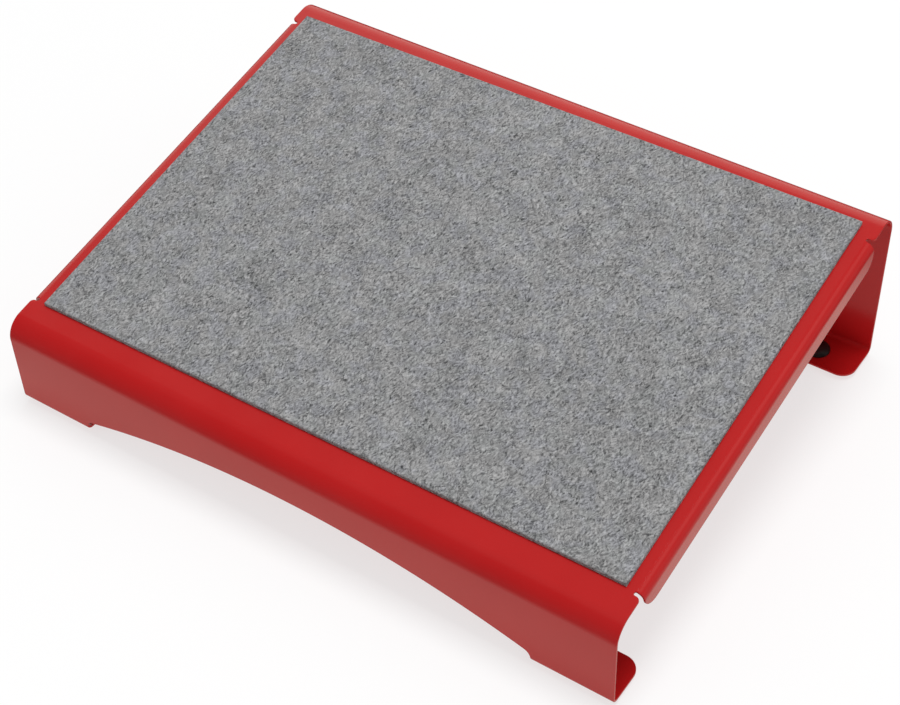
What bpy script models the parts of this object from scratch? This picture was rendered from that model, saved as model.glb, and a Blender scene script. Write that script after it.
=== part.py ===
"""Sloped footrest: one folded steel sheet, a felt cover glued on its deck and four push-in rubber feet.

Metres, +Z up.  X runs across the footrest, Y from its low front edge to its high rear edge.
The origin is on the ground under the middle of the footrest.
"""

import math

import bmesh
import bpy
from mathutils import Vector

# Driving dimensions, metres and radians.
WIDTH_OVER_LIPS = 0.450
APRON_WIDTH = 0.4476
DEPTH = 0.335
SLOPE = math.radians(9.75)
SHEET = 0.0016
GAP = 0.0003

# The folded sheet.  Bend radii are inner radii; heights count from the underside of the foot flanges.
FRONT_EDGE_HEIGHT = 0.0655
EDGE_BEND = 0.0130
FOOT_BEND = 0.0030
LIP_BEND = 0.0046
LIP_DEPTH = 0.0180
LIP_FRONT_CORNER = 0.0125
LIP_REAR_CORNER = 0.0100
LIP_START = 0.0278
LIP_END = 0.3080
RELIEF_WIDTH = 0.0024
RELIEF_TIP = 0.2188
RELIEF_CORNER = 0.0031
FLANGE_DEPTH = 0.0330
FLANGE_INNER_END = 0.1685
FLANGE_CORNER = 0.0105
ARCH_HEIGHT = 0.0320
ARCH_RADIUS = 0.6000
ARCH_FILLET = 0.0060

# The felt cover, measured in the plane of the deck, from the front edge where apron and deck planes meet.
FELT_WIDTH = 0.4256
FELT_LENGTH = 0.2917
FELT_THICKNESS = 0.0030
FELT_CENTRE_X = -0.0004
FELT_CENTRE_S = 0.1720
FELT_SKEW = math.radians(0.42)

# The rubber feet: a pad below the flange, a neck through its hole and a domed head above it.
FOOT_X = 0.1943
FOOT_INSET = 0.0190
PAD_RADIUS = 0.0100
PAD_HEIGHT = 0.0030
PAD_CHAMFER = 0.0006
NECK_RADIUS = 0.0060
HEAD_RADIUS = 0.0083
HEAD_RIM = 0.0008
HEAD_RISE = 0.0032

EDGE_BEND_STEPS = 16
FOOT_BEND_STEPS = 8
LIP_BEND_STEPS = 8
ARCH_STEPS = 40
CORNER_STEPS = 10
HOLE_STEPS = 32
DOME_STEPS = 7
FOOT_TURN_STEPS = 40

MERGE = 0.00001

GROUND_TO_FLANGE = PAD_HEIGHT + GAP
DECK_LENGTH = DEPTH / math.cos(SLOPE)
REAR_EDGE_HEIGHT = FRONT_EDGE_HEIGHT + DEPTH * math.tan(SLOPE)
FOOT_RADIUS_OUT = FOOT_BEND + SHEET
EDGE_RADIUS_OUT = EDGE_BEND + SHEET
LIP_RADIUS_OUT = LIP_BEND + SHEET
FRONT_TURN = math.pi / 2 - SLOPE
REAR_TURN = math.pi / 2 + SLOPE
FRONT_SETBACK = EDGE_RADIUS_OUT * math.tan(FRONT_TURN / 2)
REAR_SETBACK = EDGE_RADIUS_OUT * math.tan(REAR_TURN / 2)

FOOT_ARC = (FOOT_BEND + SHEET / 2) * math.pi / 2
LIP_ARC = (LIP_BEND + SHEET / 2) * math.pi / 2
LIP_BEND_AT = WIDTH_OVER_LIPS / 2 - LIP_RADIUS_OUT


def flat(length):
    """A stretch of sheet that stays flat."""
    return {"length": length, "turn": 0.0, "radius": 0.0, "steps": 1}


def bend(inner_radius, turn, steps):
    """A stretch that is bent: its length and radius are those of the sheet's middle surface."""
    radius = inner_radius + SHEET / 2
    return {"length": radius * turn, "turn": turn, "radius": radius, "steps": steps}


# The developed sheet, from the front flange's free edge to the rear flange's.
STRIP = [
    flat(FLANGE_DEPTH - FOOT_RADIUS_OUT),
    bend(FOOT_BEND, math.pi / 2, FOOT_BEND_STEPS),
    flat(FRONT_EDGE_HEIGHT - FOOT_RADIUS_OUT - FRONT_SETBACK),
    bend(EDGE_BEND, FRONT_TURN, EDGE_BEND_STEPS),
    flat(DECK_LENGTH - FRONT_SETBACK - REAR_SETBACK),
    bend(EDGE_BEND, REAR_TURN, EDGE_BEND_STEPS),
    flat(REAR_EDGE_HEIGHT - FOOT_RADIUS_OUT - REAR_SETBACK),
    bend(FOOT_BEND, math.pi / 2, FOOT_BEND_STEPS),
    flat(FLANGE_DEPTH - FOOT_RADIUS_OUT),
]
APRON, DECK, REAR_FOOT_BEND = 2, 4, 7


def strip_start(index):
    """Developed length from the front flange's free edge to the start of one stretch."""
    return sum(stretch["length"] for stretch in STRIP[:index])


STRIP_LENGTH = strip_start(len(STRIP))


def along_deck(s):
    """Blank coordinate of a place on the deck, s from the front edge's virtual corner."""
    return strip_start(DECK) + s - FRONT_SETBACK


def up_apron(z):
    """Blank coordinate of a height on the apron, above the flanges' underside."""
    return strip_start(APRON) + z - FOOT_RADIUS_OUT


def up_rear_wall(z):
    """Blank coordinate of a height on the rear wall."""
    return strip_start(REAR_FOOT_BEND) - z + FOOT_RADIUS_OUT


def relief_lines():
    """Blank coordinates of the middles of the two relief slots, between which the lips fold."""
    return along_deck(LIP_START - RELIEF_WIDTH / 2), along_deck(LIP_END + RELIEF_WIDTH / 2)


def arc(centre, radius, start, end, steps=CORNER_STEPS):
    """Points of an arc in the blank's plane, angles in degrees."""
    angles = [math.radians(start + (end - start) * i / steps) for i in range(steps + 1)]
    return [(centre[0] + radius * math.cos(a), centre[1] + radius * math.sin(a)) for a in angles]


def lip_free_edge():
    """Half width of the unfolded sheet over a lip."""
    return LIP_BEND_AT + LIP_ARC + LIP_DEPTH - LIP_RADIUS_OUT


def arch_outline():
    """Right half of an arch and one foot flange, as (across, height above the flange's underside).

    Runs from the middle of the arch to the flange's outer edge.  Heights below the foot bend are
    developed lengths.
    """
    centre_height = ARCH_HEIGHT - ARCH_RADIUS
    fillet_across = FLANGE_INNER_END - ARCH_FILLET
    reach = ARCH_RADIUS - ARCH_FILLET
    fillet_height = centre_height + math.sqrt(reach**2 - fillet_across**2)
    fillet_angle = math.degrees(math.atan2(fillet_height - centre_height, fillet_across))
    free_edge = FOOT_RADIUS_OUT - FOOT_ARC - (FLANGE_DEPTH - FOOT_RADIUS_OUT)
    outer = APRON_WIDTH / 2
    inner_corner = (FLANGE_INNER_END + FLANGE_CORNER, free_edge + FLANGE_CORNER)
    outer_corner = (outer - FLANGE_CORNER, free_edge + FLANGE_CORNER)
    points = arc((0.0, centre_height), ARCH_RADIUS, 90.0, fillet_angle, ARCH_STEPS // 2)
    points += arc((fillet_across, fillet_height), ARCH_FILLET, fillet_angle, 0.0)[1:]
    points += arc(inner_corner, FLANGE_CORNER, 180.0, 270.0)
    points += arc(outer_corner, FLANGE_CORNER, 270.0, 360.0)
    return points


def relief_outline(lip_edge, deck_edge):
    """One bend relief: from the apron's width inward, round its tip and out along the lip's end."""
    side = 1.0 if lip_edge > deck_edge else -1.0
    outer = APRON_WIDTH / 2
    half = RELIEF_WIDTH / 2
    corner = (outer - RELIEF_CORNER, deck_edge - side * RELIEF_CORNER)
    tip = (RELIEF_TIP + half, deck_edge + side * half)
    points = arc(corner, RELIEF_CORNER, 0.0, side * 90.0)
    points += arc(tip, half, -side * 90.0, -side * 270.0)
    return points


def half_outline():
    """Right half of the sheet's flat outline, from the front arch to the rear arch."""
    front = [(u, up_apron(z)) for u, z in arch_outline()]
    rear = [(u, up_rear_wall(z)) for u, z in reversed(arch_outline())]
    lip_front = along_deck(LIP_START)
    lip_rear = along_deck(LIP_END)
    edge = lip_free_edge()
    front_corner = (edge - LIP_FRONT_CORNER, lip_front + LIP_FRONT_CORNER)
    rear_corner = (edge - LIP_REAR_CORNER, lip_rear - LIP_REAR_CORNER)
    lip = arc(front_corner, LIP_FRONT_CORNER, -90.0, 0.0) + arc(rear_corner, LIP_REAR_CORNER, 0.0, 90.0)
    front_relief = relief_outline(lip_front, lip_front - RELIEF_WIDTH)
    rear_relief = list(reversed(relief_outline(lip_rear, lip_rear + RELIEF_WIDTH)))
    return front + front_relief + lip + rear_relief + rear


def sheet_outline():
    right = half_outline()
    left = [(-u, v) for u, v in reversed(right[1:-1])]
    return right + left


def foot_places():
    """Plan positions of the four feet, from the middle of the footrest, by name."""
    y = DEPTH / 2 - FOOT_INSET
    return {
        "rubber_foot_front_left": (-FOOT_X, -y),
        "rubber_foot_front_right": (FOOT_X, -y),
        "rubber_foot_rear_left": (-FOOT_X, y),
        "rubber_foot_rear_right": (FOOT_X, y),
    }


def flange_holes():
    """Centres of the four foot holes in the flat sheet."""
    from_free_edge = FLANGE_DEPTH - FOOT_INSET
    return [(x, v) for x in (-FOOT_X, FOOT_X) for v in (from_free_edge, STRIP_LENGTH - from_free_edge)]


def fold_strip(v, w):
    """Fold one point of the strip, v along the sheet and w above its middle surface, to (y, z).

    The heading is the direction of travel along the profile.  Every bend turns it clockwise, seen
    with Y to the right, so the outer face of the sheet is always on its left.
    """
    y, z, heading = FLANGE_DEPTH, SHEET / 2, math.pi
    for stretch in STRIP:
        length = min(v, stretch["length"]) if stretch is not STRIP[-1] else v
        if stretch["turn"]:
            radius = stretch["radius"]
            turned = length / radius
            middle = (y + radius * math.sin(heading), z - radius * math.cos(heading))
            heading -= turned
            y = middle[0] - radius * math.sin(heading)
            z = middle[1] + radius * math.cos(heading)
        else:
            y += length * math.cos(heading)
            z += length * math.sin(heading)
        v -= length
        if v <= 0.0:
            break
    return y - w * math.sin(heading), z + w * math.cos(heading)


def fold_lip(u, w):
    """Fold one point across the deck: returns its distance out and its height above the middle surface."""
    past = abs(u) - LIP_BEND_AT
    if past <= 0.0:
        return u, w
    radius = LIP_BEND + SHEET / 2
    turned = min(past / radius, math.pi / 2)
    drop = max(past - LIP_ARC, 0.0)
    across = LIP_BEND_AT + (radius + w) * math.sin(turned)
    height = (radius + w) * math.cos(turned) - radius - drop
    return math.copysign(across, u), height


def fold_point(co):
    """Map a point of the flat sheet to the folded one."""
    u, v, w = co
    low, high = relief_lines()
    if low < v < high:
        u, w = fold_lip(u, w)
    y, z = fold_strip(v, w)
    return Vector((u, y - DEPTH / 2, z + GROUND_TO_FLANGE))


def all_faces(bm):
    return list(bm.faces)


def deck_faces(bm):
    low, high = relief_lines()
    return [face for face in bm.faces if low < face.calc_center_median().y < high]


def cut_lines(bm, normal, places, choose):
    """Split the chosen faces along straight lines, so that the sheet can bend there."""
    for place in places:
        faces = choose(bm)
        geom = list(faces)
        geom += dict.fromkeys(edge for face in faces for edge in face.edges)
        geom += dict.fromkeys(vert for face in faces for vert in face.verts)
        cut = bmesh.ops.bisect_plane(
            bm, geom=geom, dist=MERGE / 10, plane_co=Vector(normal) * place, plane_no=normal
        )
        for item in cut["geom_cut"]:
            if isinstance(item, bmesh.types.BMEdge):
                item.seam = True


def strip_bend_lines():
    lines = []
    for index, stretch in enumerate(STRIP):
        if stretch["turn"]:
            steps = stretch["steps"]
            lines += [strip_start(index) + stretch["length"] * i / steps for i in range(steps + 1)]
    return lines


def lip_bend_lines():
    return [LIP_BEND_AT + LIP_ARC * i / LIP_BEND_STEPS for i in range(LIP_BEND_STEPS + 1)]


def add_closed_spline(curve, points):
    spline = curve.splines.new("POLY")
    spline.points.add(len(points) - 1)
    for point, (u, v) in zip(spline.points, points):
        point.co = (u, v, 0.0, 1.0)
    spline.use_cyclic_u = True


def flat_sheet_mesh():
    """The blank as it is cut: its outline and foot holes, extruded by the sheet's thickness."""
    curve = bpy.data.curves.new("flat_sheet", "CURVE")
    curve.dimensions = "2D"
    curve.fill_mode = "BOTH"
    curve.extrude = SHEET / 2
    add_closed_spline(curve, sheet_outline())
    for centre in flange_holes():
        add_closed_spline(curve, arc(centre, NECK_RADIUS + GAP, 0.0, 360.0, HOLE_STEPS)[:-1])
    blank = bpy.data.objects.new("flat_sheet", curve)
    bpy.context.scene.collection.objects.link(blank)
    depsgraph = bpy.context.evaluated_depsgraph_get()
    mesh = bpy.data.meshes.new_from_object(blank.evaluated_get(depsgraph))
    bpy.data.objects.remove(blank)
    bpy.data.curves.remove(curve)
    return mesh


def folded_shell_mesh():
    mesh = flat_sheet_mesh()
    bm = bmesh.new()
    bm.from_mesh(mesh)
    bmesh.ops.remove_doubles(bm, verts=bm.verts, dist=MERGE)
    cut_lines(bm, (0, 1, 0), sorted([*strip_bend_lines(), *relief_lines()]), all_faces)
    for side in (1, -1):
        cut_lines(bm, (side, 0, 0), lip_bend_lines(), deck_faces)
    bmesh.ops.dissolve_limit(
        bm, angle_limit=math.radians(0.01), verts=bm.verts, edges=bm.edges, delimit={"SEAM"}
    )
    for vert in bm.verts:
        vert.co = fold_point(vert.co)
    bmesh.ops.recalc_face_normals(bm, faces=bm.faces)
    bm.to_mesh(mesh)
    bm.free()
    return mesh


def material(name, colour, roughness, metallic):
    made = bpy.data.materials.new(name)
    made.use_nodes = True
    shader = made.node_tree.nodes["Principled BSDF"]
    shader.inputs["Base Color"].default_value = (*colour, 1.0)
    shader.inputs["Roughness"].default_value = roughness
    shader.inputs["Metallic"].default_value = metallic
    return made


def add_part(name, mesh, finish, collection):
    mesh.name = name
    mesh.materials.clear()
    mesh.materials.append(finish)
    obj = bpy.data.objects.new(name, mesh)
    collection.objects.link(obj)
    mesh.shade_smooth()
    mesh.set_sharp_from_angle(angle=math.radians(35))
    return obj


def make_shell(collection):
    finish = material("red_powder_coat", (0.445, 0.028, 0.026), 0.45, 0.0)
    return add_part("folded_shell", folded_shell_mesh(), finish, collection)


def make_felt(collection):
    """The felt lies on the deck with a small gap, turned by a fraction of a degree."""
    finish = material("grey_felt", (0.26, 0.265, 0.27), 0.95, 0.0)
    bm = bmesh.new()
    bmesh.ops.create_cube(bm, size=1.0)
    bmesh.ops.scale(bm, vec=(FELT_WIDTH, FELT_LENGTH, FELT_THICKNESS), verts=bm.verts)
    mesh = bpy.data.meshes.new("felt_cover")
    bm.to_mesh(mesh)
    bm.free()
    felt = add_part("felt_cover", mesh, finish, collection)
    lift = GAP + FELT_THICKNESS / 2
    along = Vector((0.0, math.cos(SLOPE), math.sin(SLOPE)))
    normal = Vector((0.0, -math.sin(SLOPE), math.cos(SLOPE)))
    front_edge = Vector((FELT_CENTRE_X, -DEPTH / 2, FRONT_EDGE_HEIGHT + GROUND_TO_FLANGE))
    felt.location = front_edge + along * FELT_CENTRE_S + normal * lift
    felt.rotation_mode = "XYZ"
    felt.rotation_euler = (SLOPE, 0.0, 0.0)
    felt.rotation_euler.rotate_axis("Z", FELT_SKEW)
    return felt


def foot_profile():
    """Radius and height of a foot's turned outline, from the top of its dome down to its underside."""
    head_base = PAD_HEIGHT + GAP + SHEET + GAP
    rim_top = head_base + HEAD_RIM
    dome = []
    for i in range(DOME_STEPS + 1):
        angle = math.pi / 2 * i / DOME_STEPS
        dome.append((HEAD_RADIUS * math.sin(angle), rim_top + HEAD_RISE * math.cos(angle)))
    return dome + [
        (HEAD_RADIUS, head_base),
        (NECK_RADIUS, head_base),
        (NECK_RADIUS, PAD_HEIGHT),
        (PAD_RADIUS, PAD_HEIGHT),
        (PAD_RADIUS, PAD_CHAMFER),
        (PAD_RADIUS - PAD_CHAMFER, 0.0),
        (0.0, 0.0),
    ]


def foot_mesh():
    mesh = bpy.data.meshes.new("rubber_foot")
    points = foot_profile()
    edges = [(i, i + 1) for i in range(len(points) - 1)]
    mesh.from_pydata([(radius, 0.0, height) for radius, height in points], edges, [])
    return mesh


def make_feet(collection):
    finish = material("black_rubber", (0.012, 0.013, 0.013), 0.6, 0.0)
    for name, (x, y) in foot_places().items():
        foot = add_part(name, foot_mesh(), finish, collection)
        foot.location = (x, y, 0.0)
        turn = foot.modifiers.new("turn", "SCREW")
        turn.steps = FOOT_TURN_STEPS
        turn.render_steps = FOOT_TURN_STEPS
        turn.use_merge_vertices = True
        turn.merge_threshold = MERGE


def clear_scene():
    for obj in list(bpy.data.objects):
        bpy.data.objects.remove(obj, do_unlink=True)


def main():
    clear_scene()
    collection = bpy.data.collections.new("sloped_footrest")
    bpy.context.scene.collection.children.link(collection)
    make_shell(collection)
    make_felt(collection)
    make_feet(collection)


main()
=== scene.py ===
"""Looks of the sloped footrest: powder-coated folded steel, needle felt and moulded rubber feet.

Metres, in the row frame: X across, Y from the low front edge to the high rear edge, Z up.
"""

import math

import bmesh
import bpy
from mathutils import Matrix, Vector, noise


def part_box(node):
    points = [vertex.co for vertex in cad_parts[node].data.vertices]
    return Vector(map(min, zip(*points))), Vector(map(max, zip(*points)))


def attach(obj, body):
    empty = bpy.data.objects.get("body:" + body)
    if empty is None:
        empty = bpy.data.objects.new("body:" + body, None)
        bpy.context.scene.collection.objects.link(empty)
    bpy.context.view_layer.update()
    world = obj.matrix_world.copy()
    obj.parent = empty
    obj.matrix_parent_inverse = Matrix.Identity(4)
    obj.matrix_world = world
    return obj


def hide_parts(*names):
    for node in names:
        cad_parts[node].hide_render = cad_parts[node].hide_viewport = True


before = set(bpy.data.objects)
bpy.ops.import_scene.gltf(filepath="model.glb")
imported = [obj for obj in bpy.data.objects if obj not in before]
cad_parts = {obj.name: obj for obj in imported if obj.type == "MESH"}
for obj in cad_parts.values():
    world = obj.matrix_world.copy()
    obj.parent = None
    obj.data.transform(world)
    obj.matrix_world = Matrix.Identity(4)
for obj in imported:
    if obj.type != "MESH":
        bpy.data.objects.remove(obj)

BODY = "root"

# The camera: where it looks, how far off it stands, its angles in degrees, and its lens in mm.
CAMERA_TARGET = Vector((0.0090, -0.0110, 0.0373))
CAMERA_DISTANCE = 1.2094
CAMERA_AZIMUTH = 35.648
CAMERA_ELEVATION = 44.564
CAMERA_ROLL = -2.345
CAMERA_LENS = 75.25

# The folded sheet, as in the CAD.  Bend radii are inner; heights count from under the flanges.
APRON_WIDTH = 0.4476
SLOPE = math.radians(9.75)
SHEET = 0.0016
FRONT_EDGE_HEIGHT = 0.0655
EDGE_BEND = 0.0130
FOOT_BEND = 0.0030
LIP_BEND = 0.0046
LIP_DEPTH = 0.0180
LIP_FRONT_CORNER = 0.0125
LIP_REAR_CORNER = 0.0100
LIP_START = 0.0278
LIP_END = 0.3080
RELIEF_WIDTH = 0.0024
RELIEF_TIP = 0.2188
RELIEF_CORNER = 0.0031
FLANGE_DEPTH = 0.0330
FLANGE_INNER_END = 0.1685
FLANGE_CORNER = 0.0105
ARCH_HEIGHT = 0.0320
ARCH_RADIUS = 0.6000
ARCH_FILLET = 0.0060
FOOT_X = 0.1943
FOOT_INSET = 0.0190
EDGE_BEND_STEPS = 28
FOOT_BEND_STEPS = 10
LIP_BEND_STEPS = 16
ARCH_STEPS = 28
CORNER_STEPS = 14
HOLE_STEPS = 56

# The sheet's cut edges are rounded by deburring and by the coat on them.
EDGE_ROUND = 0.0004
EDGE_ROUND_STEPS = 4
SHARP_EDGE = math.radians(60.0)
SAME_PLANE = math.radians(0.01)
WELD = 0.000002

# The powder coat: its colours, its roughness, the scales of its unevenness, and its relief as a
# scale, a strength and a depth.  Texture scales count features per metre throughout.
PAINT_DEEP = (0.392, 0.0075, 0.0085)
PAINT_PALE = (0.452, 0.0105, 0.0110)
PAINT_ROUGHNESS = (0.19, 0.25)
PAINT_IOR = 1.5
PAINT_CLOUDS = 14.0
PAINT_SPECKS = 2600.0
PAINT_SMEARS = 34.0
PAINT_PEEL = (620.0, 0.06, 0.00025)
PAINT_DIMPLES = (1900.0, 0.04, 0.00008)

# The felt's mesh: the clearance that the CAD leaves round and under loose pieces, the felt's lift
# off the deck, its pitch, its rolled edge, and how far and how finely its edges and face wander.
GAP = 0.0003
FELT_LIFT = 0.00005
FELT_PITCH = 0.0016
FELT_EDGE_ROUND = 0.0012
FELT_EDGE_STEPS = 5
FELT_EDGE_WANDER = 0.00012
FELT_EDGE_GRAIN = 420.0
FELT_WAVE = 0.00010
FELT_WAVE_GRAIN = 45.0
FELT_LUMP = 0.00006
FELT_LUMP_GRAIN = 260.0
# The felt's look: each lay of fibres as its direction in degrees from across and its stretch; the
# scales of the fibres, of the patches where a lay comes up, of the mottling and of the tints; how
# far the fibres wander; the weights of fibres and mottling; its tones and its relief.
FELT_LAYS = ((44.0, 2.2), (64.0, 2.8), (80.0, 3.0), (98.0, 2.8), (126.0, 2.2))
FELT_FIBRES = 860.0
FELT_LAY_PATCHES = 210.0
FELT_MOTTLING = 60.0
FELT_WARM_PATCHES = 75.0
FELT_COOL_PATCHES = 85.0
FELT_DRIFT_SCALE = 150.0
FELT_DRIFT = 0.003
FELT_FIBRE_WEIGHT = 2.2
FELT_MOTTLING_WEIGHT = 0.75
FELT_DARK = (0.030, 0.031, 0.032)
FELT_PALE = (0.405, 0.404, 0.406)
FELT_BLUISH = (0.975, 0.985, 1.03)
FELT_GREENISH = (0.985, 1.0, 0.995)
FELT_WARM = (1.0, 0.995, 0.99)
FELT_RELIEF = (0.5, 0.0006)

# The rubber: its colours, its roughness, the scale of its bloom, and its grain as a scale, a
# strength and a depth.
RUBBER_BLACK = (0.0070, 0.0078, 0.0080)
RUBBER_BLOOMED = (0.0125, 0.0135, 0.0138)
RUBBER_ROUGHNESS = (0.38, 0.50)
RUBBER_BLOOM = 260.0
RUBBER_GRAIN = (3200.0, 0.12, 0.00006)

# The feet's turned outline, as in the CAD, and the rounding of its edges.
HEAD_RADIUS = 0.0083
HEAD_RIM_TOP = 0.0060
HEAD_BASE = 0.0052
HEAD_ROUND = 0.0002
NECK_RADIUS = 0.0060
PAD_RADIUS = 0.0100
PAD_HEIGHT = 0.0030
PAD_TOP_ROUND = 0.0005
PAD_FOOT_ROUND = 0.0006
DOME_STEPS = 14
FILLET_STEPS = 4
FOOT_TURN_STEPS = 72

# The floor is a lit table, both white and bright by itself, in its own measure for each use: as
# the camera sees it, as it bounces soft light, and as the gloss mirrors it.  The mirrored table
# fades beyond the object: for each side, the share left outside, where, and where it is full.
FLOOR_HALF = 6.0
FLOOR_CLEAR = 0.0002
SEEN_WHITE = 0.27
SEEN_GLOW = 0.68
BOUNCE_WHITE = 0.25
BOUNCE_GLOW = 0.82
MIRRORED_WHITE = 0.40
MIRRORED_GLOW = 0.30
TABLE_FRONT = (0.04, -0.29, -0.18)
TABLE_REAR = (0.20, 0.30, 0.19)
TABLE_LEFT = (0.20, -0.36, -0.24)
TABLE_RIGHT = (0.45, 0.42, 0.24)

# The studio: an even dim light and glows, each its azimuth, elevation, inner and outer angle in
# degrees, and its brightness.  One set is what the gloss mirrors, with a white backdrop at the
# rear left and a softbox overhead; the other is the soft fill.
WARM_WHITE = (1.0, 0.98, 0.88)
PLAIN_WHITE = (1.0, 1.0, 1.0)
BACKGROUND = 0.95
MIRRORED_DIM = 0.02
MIRRORED_GLOWS = (
    (-140.0, 20.0, 34.5, 39.0, 1.05),
    (0.0, 90.0, 22.0, 40.0, 0.24),
    (133.0, 56.0, 8.0, 20.0, 0.62),
    (122.0, 14.0, 18.0, 32.0, 0.22),
)
FILL_DIM = 0.54
FILL_GLOWS = ((95.0, 8.0, 15.0, 45.0, 0.46),)
# The key light's azimuth, elevation, distance, size and power.
KEY_LIGHT = (140.0, 84.0, 3.4, 1.5, 80.0)


# ---------------------------------------------------------------- node helpers


# A Mix node's sockets by its data type: both inputs and the output.
MIX_SOCKETS = {"FLOAT": (2, 3, 0), "RGBA": (6, 7, 2)}


class Nodes:
    """A material's or world's node tree, with short calls to add and join nodes."""

    def __init__(self, tree):
        self.tree = tree

    def add(self, kind, **settings):
        node = self.tree.nodes.new(kind)
        for name, value in settings.items():
            setattr(node, name, value)
        return node

    def join(self, source, target):
        self.tree.links.new(source, target)

    def feed(self, socket, value):
        """Join an output to the socket, or set a plain value on it; None leaves it as it is."""
        if isinstance(value, bpy.types.NodeSocket):
            self.join(value, socket)
        elif value is not None:
            socket.default_value = value

    def math(self, operation, first, second=None, third=None):
        node = self.add("ShaderNodeMath", operation=operation)
        for socket, value in zip(node.inputs, (first, second, third)):
            self.feed(socket, value)
        return node.outputs[0]

    def product(self, factors):
        result, *others = factors
        for factor in others:
            result = self.math("MULTIPLY", result, factor)
        return result

    def vector(self, operation, first, second=None, scale=None):
        node = self.add("ShaderNodeVectorMath", operation=operation)
        for socket, value in zip(node.inputs, (first, second)):
            self.feed(socket, value)
        if scale is not None:
            self.feed(node.inputs["Scale"], scale)
        return node.outputs["Value" if operation == "DOT_PRODUCT" else "Vector"]

    def stretched(self, vector, turn, stretch, shift):
        """Coordinates in which a texture is drawn out along one direction of the XY plane."""
        node = self.add("ShaderNodeMapping", vector_type="TEXTURE")
        self.join(vector, node.inputs["Vector"])
        node.inputs["Rotation"].default_value = (0.0, 0.0, math.radians(turn))
        node.inputs["Scale"].default_value = (stretch, 1.0, 1.0)
        node.inputs["Location"].default_value = shift
        return node.outputs["Vector"]

    def noise(self, vector, scale, detail=2.0, roughness=0.5, output="Fac"):
        node = self.add("ShaderNodeTexNoise")
        self.join(vector, node.inputs["Vector"])
        node.inputs["Scale"].default_value = scale
        node.inputs["Detail"].default_value = detail
        node.inputs["Roughness"].default_value = roughness
        return node.outputs[output]

    def ramp(self, value, low, high, to_low=0.0, to_high=1.0):
        """value from low..high to to_low..to_high, smoothly and held at both ends."""
        node = self.add("ShaderNodeMapRange", interpolation_type="SMOOTHSTEP")
        self.feed(node.inputs["Value"], value)
        ends = {"From Min": low, "From Max": high, "To Min": to_low, "To Max": to_high}
        for name, number in ends.items():
            node.inputs[name].default_value = number
        return node.outputs["Result"]

    def mix(self, share, first, second, kind="RGBA"):
        node = self.add("ShaderNodeMix", data_type=kind)
        first_at, second_at, output = MIX_SOCKETS[kind]
        for index, value in ((0, share), (first_at, first), (second_at, second)):
            self.feed(node.inputs[index], (*value, 1.0) if isinstance(value, tuple) else value)
        return node.outputs[output]

    def bump(self, height, strength, distance, under=None):
        node = self.add("ShaderNodeBump")
        node.inputs["Strength"].default_value = strength
        node.inputs["Distance"].default_value = distance
        self.join(height, node.inputs["Height"])
        if under is not None:
            self.join(under, node.inputs["Normal"])
        return node.outputs["Normal"]


def new_material(name):
    """A new material, its nodes, its Principled shader and its object coordinates."""
    material = bpy.data.materials.new(name)
    material.use_nodes = True
    nodes = Nodes(material.node_tree)
    shader = material.node_tree.nodes["Principled BSDF"]
    place = nodes.add("ShaderNodeTexCoord").outputs["Object"]
    return material, nodes, shader, place


# ---------------------------------------------------------------- materials


def red_powder_coat():
    """Satin-gloss red powder coat: orange peel, faint cloudiness and fine specks."""
    material, nodes, shader, place = new_material("red_powder_coat")
    clouds = nodes.noise(place, PAINT_CLOUDS, detail=3.0)
    specks = nodes.noise(place, PAINT_SPECKS, detail=1.0)
    shade = nodes.math("MULTIPLY_ADD", clouds, 0.10, 0.90)
    shade = nodes.math("MULTIPLY_ADD", specks, 0.06, shade)
    colour = nodes.mix(nodes.ramp(shade, 0.93, 1.03), PAINT_DEEP, PAINT_PALE)
    nodes.join(colour, shader.inputs["Base Color"])

    smears = nodes.noise(place, PAINT_SMEARS, detail=4.0, roughness=0.6)
    nodes.join(nodes.ramp(smears, 0.15, 0.85, *PAINT_ROUGHNESS), shader.inputs["Roughness"])

    scale, *relief = PAINT_PEEL
    normal = nodes.bump(nodes.noise(place, scale, roughness=0.45), *relief)
    scale, *relief = PAINT_DIMPLES
    normal = nodes.bump(nodes.noise(place, scale, detail=1.0), *relief, under=normal)
    nodes.join(normal, shader.inputs["Normal"])
    shader.inputs["IOR"].default_value = PAINT_IOR
    return material


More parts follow.
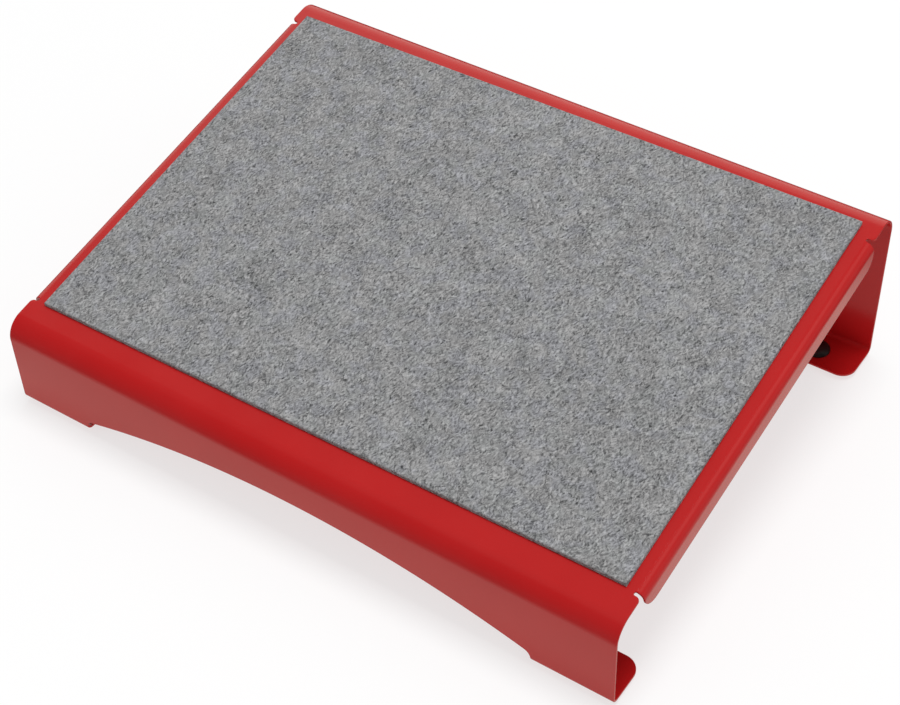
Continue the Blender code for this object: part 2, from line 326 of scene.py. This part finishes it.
def grey_felt():
    """Needle felt: matted pale and dark fibres, most lying front to back, on a mottled ground."""
    material, nodes, shader, place = new_material("grey_felt")
    drift = nodes.noise(place, FELT_DRIFT_SCALE, output="Color")
    drift = nodes.vector("SUBTRACT", drift, (0.5, 0.5, 0.5))
    place = nodes.vector("ADD", place, nodes.vector("MULTIPLY", drift, (FELT_DRIFT,) * 3))

    # Each lay of fibres comes up in patches of its own, so that the directions cross and change.
    fibres = None
    for index, (turn, stretch) in enumerate(FELT_LAYS):
        shift = (0.37 * index, 0.71 * index, 0.13 * index)
        strand = nodes.stretched(place, turn, stretch, shift)
        strand = nodes.noise(strand, FELT_FIBRES, detail=3.0, roughness=0.65)
        patch = nodes.noise(nodes.vector("ADD", place, shift), FELT_LAY_PATCHES)
        share = nodes.ramp(patch, 0.38, 0.62, 0.15, 1.0)
        lay = nodes.math("MULTIPLY", nodes.math("SUBTRACT", strand, 0.5), share)
        fibres = lay if fibres is None else nodes.math("ADD", fibres, lay)
    mottling = nodes.noise(place, FELT_MOTTLING, detail=4.0, roughness=0.65)
    mottling = nodes.math("SUBTRACT", mottling, 0.5)
    tone = nodes.math("MULTIPLY", fibres, FELT_FIBRE_WEIGHT)
    tone = nodes.math("MULTIPLY_ADD", mottling, FELT_MOTTLING_WEIGHT, tone)
    grey = nodes.mix(nodes.ramp(tone, -1.0, 1.0), FELT_DARK, FELT_PALE)

    cool = nodes.noise(nodes.vector("ADD", place, (0.5, 0.2, 0.9)), FELT_COOL_PATCHES)
    cool = nodes.mix(nodes.ramp(cool, 0.40, 0.60), FELT_BLUISH, FELT_GREENISH)
    warm = nodes.ramp(nodes.noise(place, FELT_WARM_PATCHES), 0.42, 0.62)
    tint = nodes.mix(warm, cool, FELT_WARM)
    nodes.join(nodes.vector("MULTIPLY", grey, tint), shader.inputs["Base Color"])

    height = nodes.math("MULTIPLY_ADD", fibres, 0.8, nodes.math("MULTIPLY", mottling, 0.4))
    nodes.join(nodes.bump(height, *FELT_RELIEF), shader.inputs["Normal"])
    shader.inputs["Roughness"].default_value = 0.95
    shader.inputs["Specular IOR Level"].default_value = 0.15
    shader.inputs["Sheen Weight"].default_value = 0.10
    shader.inputs["Sheen Roughness"].default_value = 0.6
    return material


def black_rubber():
    """Moulded black rubber with a soft shine, fine grain and a trace of bloom."""
    material, nodes, shader, place = new_material("black_rubber")
    bloom = nodes.noise(place, RUBBER_BLOOM, detail=4.0, roughness=0.65)
    colour = nodes.mix(nodes.ramp(bloom, 0.35, 0.75), RUBBER_BLACK, RUBBER_BLOOMED)
    nodes.join(colour, shader.inputs["Base Color"])
    nodes.join(nodes.ramp(bloom, 0.3, 0.7, *RUBBER_ROUGHNESS), shader.inputs["Roughness"])
    scale, *relief = RUBBER_GRAIN
    nodes.join(nodes.bump(nodes.noise(place, scale), *relief), shader.inputs["Normal"])
    return material


# ---------------------------------------------------------------- pieces


def put_in_order(elements, place):
    """Order bmesh elements by place, because some operators leave them in any order."""
    for index, element in enumerate(sorted(elements, key=place)):
        element.index = index
    elements.sort()


def finished(bm, name, corners_sharp=True):
    """The bmesh as a smooth-shaded mesh, its corners kept sharp where asked."""
    put_in_order(bm.verts, lambda vertex: vertex.co[:])
    put_in_order(bm.faces, lambda face: face.calc_center_median()[:])
    bmesh.ops.recalc_face_normals(bm, faces=bm.faces)
    for face in bm.faces:
        face.smooth = True
    if corners_sharp:
        for edge in bm.edges:
            edge.smooth = edge.calc_face_angle(0.0) < SHARP_EDGE
    mesh = bpy.data.meshes.new(name)
    bm.to_mesh(mesh)
    bm.free()
    return mesh


def add_piece(name, mesh, material, replaced):
    """Put a finished mesh, in the row frame, on the body and let it stand for its CAD node."""
    mesh.materials.append(material)
    piece = bpy.data.objects.new(name, mesh)
    bpy.context.scene.collection.objects.link(piece)
    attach(piece, BODY)
    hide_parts(replaced)
    return piece


class FoldedSheet:
    """The steel sheet: its flat outline, and how the blank folds into the footrest.

    Blank coordinates: u across, v from the front flange's free edge to the rear flange's, and w up
    from the sheet's middle.
    """

    # Places in the strip: flange, bend, apron, bend, deck, bend, rear wall, bend, flange.
    APRON, DECK, REAR_FLANGE_BEND = 2, 4, 7

    def __init__(self):
        low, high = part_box("folded_shell")
        self.depth = high.y - low.y
        self.ground = low.z
        self.lip_bend_at = (high.x - low.x) / 2 - LIP_BEND - SHEET
        self.lip_radius = LIP_BEND + SHEET / 2
        self.lip_arc = self.lip_radius * math.pi / 2
        self.lip_edge = self.lip_bend_at + self.lip_arc + LIP_DEPTH - LIP_BEND - SHEET
        self.foot_out = FOOT_BEND + SHEET
        self.foot_arc = (FOOT_BEND + SHEET / 2) * math.pi / 2
        rear_height = FRONT_EDGE_HEIGHT + self.depth * math.tan(SLOPE)
        front_turn, rear_turn = math.pi / 2 - SLOPE, math.pi / 2 + SLOPE
        self.front_setback = (EDGE_BEND + SHEET) * math.tan(front_turn / 2)
        rear_setback = (EDGE_BEND + SHEET) * math.tan(rear_turn / 2)
        deck = self.depth / math.cos(SLOPE) - self.front_setback - rear_setback
        # Each stretch: its length if it is flat, else its inner radius; its turn; its steps.
        stretches = [
            (FLANGE_DEPTH - self.foot_out, 0.0, 1),
            (FOOT_BEND, math.pi / 2, FOOT_BEND_STEPS),
            (FRONT_EDGE_HEIGHT - self.foot_out - self.front_setback, 0.0, 1),
            (EDGE_BEND, front_turn, EDGE_BEND_STEPS),
            (deck, 0.0, 1),
            (EDGE_BEND, rear_turn, EDGE_BEND_STEPS),
            (rear_height - self.foot_out - rear_setback, 0.0, 1),
            (FOOT_BEND, math.pi / 2, FOOT_BEND_STEPS),
            (FLANGE_DEPTH - self.foot_out, 0.0, 1),
        ]
        self.strip = []
        at = 0.0
        for size, turn, steps in stretches:
            radius = size + SHEET / 2 if turn else 0.0
            length = radius * turn if turn else size
            self.strip.append((at, length, turn, radius, steps))
            at += length
        self.length = at
        self.relief_lines = [
            self.along_deck(place)
            for place in (LIP_START - RELIEF_WIDTH / 2, LIP_END + RELIEF_WIDTH / 2)
        ]

    def along_deck(self, s):
        """Blank coordinate of a place on the deck, s from where its plane meets the apron's."""
        return self.strip[self.DECK][0] + s - self.front_setback

    def arch_outline(self):
        """Right half of an arch and a foot flange, as (across, height above the flange's foot)."""
        centre_height = ARCH_HEIGHT - ARCH_RADIUS
        fillet_across = FLANGE_INNER_END - ARCH_FILLET
        fillet_rise = math.sqrt((ARCH_RADIUS - ARCH_FILLET) ** 2 - fillet_across**2)
        fillet_height = centre_height + fillet_rise
        fillet_angle = math.degrees(math.atan2(fillet_height - centre_height, fillet_across))
        free_edge = self.foot_out - self.foot_arc - (FLANGE_DEPTH - self.foot_out)
        corner_height = free_edge + FLANGE_CORNER
        inner_corner = (FLANGE_INNER_END + FLANGE_CORNER, corner_height)
        outer_corner = (APRON_WIDTH / 2 - FLANGE_CORNER, corner_height)
        points = arc((0.0, centre_height), ARCH_RADIUS, 90.0, fillet_angle, ARCH_STEPS)
        points += arc((fillet_across, fillet_height), ARCH_FILLET, fillet_angle, 0.0)[1:]
        points += arc(inner_corner, FLANGE_CORNER, 180.0, 270.0)
        points += arc(outer_corner, FLANGE_CORNER, 270.0, 360.0)
        return points

    def relief_outline(self, lip_end, side):
        """A slot from the apron's width inward, round its tip and out along the lip's end."""
        outer, half = APRON_WIDTH / 2, RELIEF_WIDTH / 2
        deck_end = lip_end - side * RELIEF_WIDTH
        corner = (outer - RELIEF_CORNER, deck_end - side * RELIEF_CORNER)
        tip = (RELIEF_TIP + half, deck_end + side * half)
        points = arc(corner, RELIEF_CORNER, 0.0, side * 90.0)
        return points + arc(tip, half, -side * 90.0, -side * 270.0)

    def outline(self):
        """The blank's whole outline, anticlockwise from the middle of the front arch."""
        apron, rear_bend = self.strip[self.APRON][0], self.strip[self.REAR_FLANGE_BEND][0]
        arch = self.arch_outline()
        front = [(u, apron + z - self.foot_out) for u, z in arch]
        rear = [(u, rear_bend - z + self.foot_out) for u, z in reversed(arch)]
        lip_front, lip_rear = self.along_deck(LIP_START), self.along_deck(LIP_END)
        front_corner = (self.lip_edge - LIP_FRONT_CORNER, lip_front + LIP_FRONT_CORNER)
        rear_corner = (self.lip_edge - LIP_REAR_CORNER, lip_rear - LIP_REAR_CORNER)
        lip = arc(front_corner, LIP_FRONT_CORNER, -90.0, 0.0)
        lip += arc(rear_corner, LIP_REAR_CORNER, 0.0, 90.0)
        front_slot = self.relief_outline(lip_front, 1.0)
        rear_slot = self.relief_outline(lip_rear, -1.0)[::-1]
        right = front + front_slot + lip + rear_slot + rear
        return right + [(-u, v) for u, v in reversed(right[1:-1])]

    def foot_holes(self):
        """The four foot holes, clockwise."""
        inset, radius = FLANGE_DEPTH - FOOT_INSET, NECK_RADIUS + GAP
        centres = [(x, v) for x in (-FOOT_X, FOOT_X) for v in (inset, self.length - inset)]
        return [arc(centre, radius, 360.0, 0.0, HOLE_STEPS)[:-1] for centre in centres]

    def bend_lines(self):
        """Blank coordinates of the lines across the strip where its direction changes."""
        lines = list(self.relief_lines)
        for at, length, turn, _radius, steps in self.strip:
            if turn:
                lines += [at + length * step / steps for step in range(steps + 1)]
        return lines

    def lip_bend_lines(self):
        """Distances from the middle of the lines along a lip's bend."""
        steps = range(LIP_BEND_STEPS + 1)
        return [self.lip_bend_at + self.lip_arc * step / LIP_BEND_STEPS for step in steps]

    def fold_lip(self, u, w):
        """Where a point across the deck comes to lie once its lip is turned down."""
        past = abs(u) - self.lip_bend_at
        if past <= 0.0:
            return u, w
        turned = min(past / self.lip_radius, math.pi / 2)
        reach = self.lip_radius + w
        drop = max(past - self.lip_arc, 0.0)
        across = self.lip_bend_at + reach * math.sin(turned)
        return math.copysign(across, u), reach * math.cos(turned) - self.lip_radius - drop

    def fold(self, point):
        """Where a point of the flat sheet lies on the folded one; every bend turns clockwise."""
        u, v, w = point
        if self.relief_lines[0] < v < self.relief_lines[1]:
            u, w = self.fold_lip(u, w)
        y, z, heading = FLANGE_DEPTH, SHEET / 2, math.pi
        for at, whole, turn, radius, _steps in self.strip:
            if v <= at and at > 0.0:
                break
            length = v - at if at + whole >= self.length else min(v - at, whole)
            if turn:
                centre_y, centre_z = y + radius * math.sin(heading), z - radius * math.cos(heading)
                heading -= length / radius
                y, z = centre_y - radius * math.sin(heading), centre_z + radius * math.cos(heading)
            else:
                y += length * math.cos(heading)
                z += length * math.sin(heading)
        y, z = y - w * math.sin(heading), z + w * math.cos(heading)
        return Vector((u, y - self.depth / 2, z + self.ground))


def arc(centre, radius, start, end, steps=CORNER_STEPS):
    """Points of an arc in the blank's plane, angles in degrees."""
    angles = [math.radians(start + (end - start) * step / steps) for step in range(steps + 1)]
    return [(centre[0] + radius * math.cos(a), centre[1] + radius * math.sin(a)) for a in angles]


def moved_in(points, distance):
    """A closed outline moved into the material, which lies on the left of its travel."""
    moved = []
    for index, here in enumerate(points):
        here = Vector(here)
        before = (here - Vector(points[index - 1])).normalized()
        after = (Vector(points[(index + 1) % len(points)]) - here).normalized()
        left = Vector((-before.y - after.y, before.x + after.x)) / (1.0 + before.dot(after))
        moved.append(here + left * distance)
    return moved


def cut_edge_profile():
    """A cut edge from the upper face to the lower one: (distance into the sheet, height)."""
    upper = []
    for step in range(EDGE_ROUND_STEPS + 1):
        angle = math.pi / 2 * step / EDGE_ROUND_STEPS
        inward, down = EDGE_ROUND * (1.0 - math.sin(angle)), EDGE_ROUND * (1.0 - math.cos(angle))
        upper.append((inward, SHEET / 2 - down))
    return upper + [(inward, -height) for inward, height in reversed(upper)]


def flat_blank(bm, loops):
    """The blank between its two faces, all its cut edges rounded."""
    upper, lower = [], []
    for points in loops:
        rings = []
        for inward, height in cut_edge_profile():
            rings.append([bm.verts.new((*at, height)) for at in moved_in(points, inward)])
        for above, below in zip(rings, rings[1:]):
            for index, corner in enumerate(above):
                bm.faces.new((corner, above[index - 1], below[index - 1], below[index]))
        upper.append(rings[0])
        lower.append(rings[-1])
    for rings in (upper, lower):
        pairs = [(ring[index - 1], ring[index]) for ring in rings for index in range(len(ring))]
        border = [bm.edges.get(pair) for pair in pairs]
        bmesh.ops.triangle_fill(bm, edges=border, use_beauty=True)


def split_along(bm, normal, places, choose):
    """Split the chosen faces along straight lines, so that the sheet can bend there."""
    for place in places:
        faces = [face for face in bm.faces if choose(face)]
        geom = faces + list({edge for face in faces for edge in face.edges})
        geom += list({vert for face in faces for vert in face.verts})
        cut = bmesh.ops.bisect_plane(
            bm, geom=geom, dist=WELD, plane_co=Vector(normal) * place, plane_no=normal
        )
        for item in cut["geom_cut"]:
            if isinstance(item, bmesh.types.BMEdge):
                item.seam = True


def shell_mesh():
    """The sheet cut flat with its edges rounded, then folded along its bends."""
    sheet = FoldedSheet()
    bm = bmesh.new()
    flat_blank(bm, [sheet.outline(), *sheet.foot_holes()])
    split_along(bm, (0, 1, 0), sorted(sheet.bend_lines()), lambda face: True)
    low, high = sheet.relief_lines
    for side in (1, -1):
        split_along(
            bm, (side, 0, 0), sheet.lip_bend_lines(),
            lambda face: low < face.calc_center_median().y < high,
        )
    bmesh.ops.dissolve_limit(
        bm, angle_limit=SAME_PLANE, verts=bm.verts, edges=bm.edges, delimit={"SEAM"}
    )
    for vertex in bm.verts:
        vertex.co = sheet.fold(vertex.co)
    return finished(bm, "folded_sheet", corners_sharp=False)


def make_shell(material):
    piece = add_piece("folded_sheet", shell_mesh(), material, "folded_shell")
    weighted = piece.modifiers.new("flat_faces_stay_flat", "WEIGHTED_NORMAL")
    weighted.weight = 100
    weighted.keep_sharp = False


def felt_axes():
    """The felt solid's middle and its edge vectors: across, along and out of the deck."""
    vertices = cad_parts["felt_cover"].data.vertices
    places = {tuple(round(x, 7) for x in vertex.co) for vertex in vertices}
    corners = [Vector(place) for place in sorted(places)]
    # In order of distance from one corner, the ends of its three edges come at 1, 2 and 4.
    near = sorted(corners, key=lambda corner: (corner - corners[0]).length)
    out, along, across = (near[index] - near[0] for index in (1, 2, 4))
    across, along, out = (
        edge if edge[axis] > 0.0 else -edge for axis, edge in enumerate((across, along, out))
    )
    return sum(corners, Vector()) / len(corners), across, along, out


def felt_border(thickness):
    """The felt's edge from its face down: (distance out from the face's border, height)."""
    top, bottom = thickness / 2, -thickness / 2 - GAP + FELT_LIFT
    rings = []
    for step in range(1, FELT_EDGE_STEPS + 1):
        angle = math.pi / 2 * step / FELT_EDGE_STEPS
        down = FELT_EDGE_ROUND * (1.0 - math.cos(angle))
        rings.append((FELT_EDGE_ROUND * math.sin(angle), top - down))
    shoulder = top - FELT_EDGE_ROUND
    side = shoulder - bottom
    return rings + [(FELT_EDGE_ROUND, shoulder - side * share) for share in (0.35, 0.70, 1.0)]


def on_border(value, half):
    """A coordinate brought back to the face's border where it lies past it."""
    return math.copysign(half, value) if abs(value) > half - WELD else value


def moved_out(value, half, reach):
    """A coordinate moved out by reach where it lies on the face's border."""
    return value + math.copysign(reach, value) if abs(value) == half else value


def felt_mesh(width, length, thickness):
    """A thick sheet of felt, its face gently lumpy and its cut edges slightly ragged."""
    half_u, half_v = width / 2 - FELT_EDGE_ROUND, length / 2 - FELT_EDGE_ROUND
    columns, rows = round(width / FELT_PITCH), round(length / FELT_PITCH)
    bm = bmesh.new()
    bmesh.ops.create_grid(bm, x_segments=columns, y_segments=rows, size=1.0)
    for vertex in bm.verts:
        u, v = vertex.co.x * half_u, vertex.co.y * half_v
        wave = noise.noise(Vector((u, v, 0.0)) * FELT_WAVE_GRAIN) * FELT_WAVE
        lump = noise.noise(Vector((u, v, 0.3)) * FELT_LUMP_GRAIN) * FELT_LUMP
        vertex.co = (u, v, thickness / 2 - FELT_WAVE + wave + lump)
    rim = [edge for edge in bm.edges if edge.is_boundary]
    for out, height in felt_border(thickness):
        ring = bmesh.ops.extrude_edge_only(bm, edges=rim)["geom"]
        rim = [item for item in ring if isinstance(item, bmesh.types.BMEdge)]
        for vertex in (item for item in ring if isinstance(item, bmesh.types.BMVert)):
            u, v = on_border(vertex.co.x, half_u), on_border(vertex.co.y, half_v)
            grain = noise.noise(Vector((u, v, height * 3.0)) * FELT_EDGE_GRAIN)
            reach = out - FELT_EDGE_WANDER / 2 + grain * FELT_EDGE_WANDER
            vertex.co = (moved_out(u, half_u, reach), moved_out(v, half_v, reach), height)
        rim = [edge for edge in bm.edges if edge.is_boundary]
    bmesh.ops.contextual_create(bm, geom=rim)
    return finished(bm, "felt_sheet")


def make_felt(material):
    middle, across, along, out = felt_axes()
    width, length = across.length, along.length
    mesh = felt_mesh(width, length, out.length)
    axes = Matrix([across.normalized(), along.normalized(), out.normalized()]).transposed()
    mesh.transform(Matrix.Translation(middle) @ axes.to_4x4())
    piece = add_piece("felt_sheet", mesh, material, "felt_cover")


def rounded(corners):
    """A turned outline through (radius, height, fillet) corners, each fillet as an arc."""
    points = []
    for index, (radius, height, fillet) in enumerate(corners):
        here = Vector((radius, height))
        if not fillet:
            points.append(here)
            continue
        before = (Vector(corners[index - 1][:2]) - here).normalized()
        after = (Vector(corners[index + 1][:2]) - here).normalized()
        half_angle = before.angle(after) / 2
        back = fillet / math.tan(half_angle)
        centre = here + (before + after).normalized() * (fillet / math.sin(half_angle))
        start, end = here + before * back - centre, here + after * back - centre
        turn = start.angle_signed(end)
        for step in range(FILLET_STEPS + 1):
            angle = -turn * step / FILLET_STEPS
            cos, sin = math.cos(angle), math.sin(angle)
            turned = Vector((start.x * cos - start.y * sin, start.x * sin + start.y * cos))
            points.append(centre + turned)
    return points


def foot_outline(top):
    """A push-in foot from the top of its dome to the middle of its underside."""
    rise = top - HEAD_RIM_TOP
    dome = []
    for step in range(DOME_STEPS):
        angle = math.pi / 2 * step / DOME_STEPS
        dome.append(Vector((HEAD_RADIUS * math.sin(angle), HEAD_RIM_TOP + rise * math.cos(angle))))
    corners = [
        (HEAD_RADIUS, HEAD_RIM_TOP, 0.0),
        (HEAD_RADIUS, HEAD_BASE, HEAD_ROUND),
        (NECK_RADIUS, HEAD_BASE, 0.0),
        (NECK_RADIUS, PAD_HEIGHT, 0.0),
        (PAD_RADIUS, PAD_HEIGHT, PAD_TOP_ROUND),
        (PAD_RADIUS, 0.0, PAD_FOOT_ROUND),
        (0.0, 0.0, 0.0),
    ]
    return dome + rounded(corners)


def foot_mesh(name, middle, top):
    """A foot's outline turned about its upright axis."""
    bm = bmesh.new()
    points = [bm.verts.new((point.x, 0.0, point.y)) for point in foot_outline(top)]
    edges = [bm.edges.new(pair) for pair in zip(points, points[1:])]
    bmesh.ops.spin(
        bm, geom=points + edges, axis=(0.0, 0.0, 1.0), cent=(0.0, 0.0, 0.0),
        steps=FOOT_TURN_STEPS, angle=math.tau, use_merge=True,
    )
    bmesh.ops.remove_doubles(bm, verts=bm.verts, dist=WELD)
    bmesh.ops.translate(bm, verts=bm.verts, vec=(middle.x, middle.y, 0.0))
    return finished(bm, name)


def make_feet(material):
    for node in sorted(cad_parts):
        if node.startswith("rubber_foot"):
            low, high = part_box(node)
            name = node.replace("rubber_foot", "push_in_foot")
            mesh = foot_mesh(name, (low + high) / 2, high.z)
            add_piece(name, mesh, material, node)


# ---------------------------------------------------------------- stage, lights and camera


def facing(azimuth, elevation):
    """The unit vector towards an azimuth and elevation in degrees; azimuth 0 is the front."""
    azimuth, elevation = math.radians(azimuth), math.radians(elevation)
    level = math.cos(elevation)
    return Vector((math.sin(azimuth) * level, -math.cos(azimuth) * level, math.sin(elevation)))


def by_ray(nodes, rays, seen, mirrored, bounced, kind):
    """A value by what asks for it: the camera, the gloss or anything else."""
    unseen = nodes.mix(rays["Is Glossy Ray"], bounced, mirrored, kind)
    return nodes.mix(rays["Is Camera Ray"], unseen, seen, kind)


def mirrored_share(nodes, place):
    """How much of the table's brightness the gloss still mirrors at each place."""
    split = nodes.add("ShaderNodeSeparateXYZ")
    nodes.join(place, split.inputs[0])
    fades = []
    for axis, (left, outside, inside) in (
        ("Y", TABLE_FRONT), ("Y", TABLE_REAR), ("X", TABLE_LEFT), ("X", TABLE_RIGHT)
    ):
        ends = (outside, inside, left, 1.0) if outside < inside else (inside, outside, 1.0, left)
        fades.append(nodes.ramp(split.outputs[axis], *ends))
    return nodes.product(fades)


def pale_floor():
    """The lit table's plain white."""
    material, nodes, shader, place = new_material("pale_floor")
    rays = nodes.add("ShaderNodeLightPath").outputs
    share = mirrored_share(nodes, place)
    white = nodes.math("MULTIPLY", share, MIRRORED_WHITE)
    white = by_ray(nodes, rays, SEEN_WHITE, white, BOUNCE_WHITE, "FLOAT")
    glow = nodes.math("MULTIPLY", share, MIRRORED_GLOW)
    glow = by_ray(nodes, rays, SEEN_GLOW, glow, BOUNCE_GLOW, "FLOAT")
    tint = nodes.mix(rays["Is Glossy Ray"], PLAIN_WHITE, WARM_WHITE)
    nodes.join(nodes.vector("SCALE", tint, scale=white), shader.inputs["Base Color"])
    nodes.join(tint, shader.inputs["Emission Color"])
    nodes.join(glow, shader.inputs["Emission Strength"])
    shader.inputs["Roughness"].default_value = 1.0
    shader.inputs["Specular IOR Level"].default_value = 0.0
    material.cycles.emission_sampling = "NONE"
    return material


def add_floor():
    mesh = bpy.data.meshes.new("floor")
    bm = bmesh.new()
    bmesh.ops.create_grid(bm, x_segments=1, y_segments=1, size=FLOOR_HALF)
    bm.to_mesh(mesh)
    bm.free()
    mesh.materials.append(pale_floor())
    floor = bpy.data.objects.new("floor", mesh)
    floor.location.z = -FLOOR_CLEAR
    bpy.context.scene.collection.objects.link(floor)


def add_key_light():
    """A soft lamp overhead, which the gloss doesn't mirror."""
    azimuth, elevation, distance, size, power = KEY_LIGHT
    light = bpy.data.lights.new("key_light", "AREA")
    light.shape = "DISK"
    light.size = size
    light.energy = power
    lamp = bpy.data.objects.new("key_light", light)
    towards = facing(azimuth, elevation)
    lamp.location = CAMERA_TARGET + towards * distance
    lamp.rotation_mode = "QUATERNION"
    lamp.rotation_quaternion = (-towards).to_track_quat("-Z", "Y")
    lamp.visible_glossy = False
    bpy.context.scene.collection.objects.link(lamp)


def studio_light(nodes, direction, colour, dim, glows):
    """The studio's light from each direction."""
    level = dim
    for azimuth, elevation, inner, outer, bright in glows:
        near = nodes.vector("DOT_PRODUCT", direction, facing(azimuth, elevation))
        low, high = math.cos(math.radians(outer)), math.cos(math.radians(inner))
        level = nodes.math("ADD", nodes.ramp(near, low, high, 0.0, bright), level)
    return nodes.vector("SCALE", colour, scale=level)


def add_studio():
    """The studio as the gloss mirrors it and as it lights the object, with a plain background."""
    world = bpy.data.worlds.new("studio")
    world.use_nodes = True
    world.cycles.sampling_method = "NONE"
    bpy.context.scene.world = world
    nodes = Nodes(world.node_tree)
    direction = nodes.add("ShaderNodeTexCoord").outputs["Generated"]
    rays = nodes.add("ShaderNodeLightPath").outputs
    mirrored = studio_light(nodes, direction, WARM_WHITE, MIRRORED_DIM, MIRRORED_GLOWS)
    fill = studio_light(nodes, direction, PLAIN_WHITE, FILL_DIM, FILL_GLOWS)
    light = by_ray(nodes, rays, (BACKGROUND,) * 3, mirrored, fill, "RGBA")
    nodes.join(light, world.node_tree.nodes["Background"].inputs["Color"])


def add_camera():
    data = bpy.data.cameras.new("camera")
    data.lens = CAMERA_LENS
    camera = bpy.data.objects.new("camera", data)
    back = facing(CAMERA_AZIMUTH, CAMERA_ELEVATION)
    level = Vector((0.0, 0.0, 1.0)).cross(back).normalized()
    upright = back.cross(level)
    cos, sin = math.cos(math.radians(CAMERA_ROLL)), math.sin(math.radians(CAMERA_ROLL))
    right = level * cos + upright * sin
    up = upright * cos - level * sin
    axes = Matrix([right, up, back]).transposed()
    stand = Matrix.Translation(CAMERA_TARGET + back * CAMERA_DISTANCE)
    camera.matrix_world = stand @ axes.to_4x4()
    bpy.context.scene.collection.objects.link(camera)
    bpy.context.scene.camera = camera


def main():
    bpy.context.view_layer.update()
    make_shell(red_powder_coat())
    make_felt(grey_felt())
    make_feet(black_rubber())
    add_floor()
    add_studio()
    add_key_light()
    add_camera()
    bpy.context.scene.view_settings.view_transform = "Standard"


main()
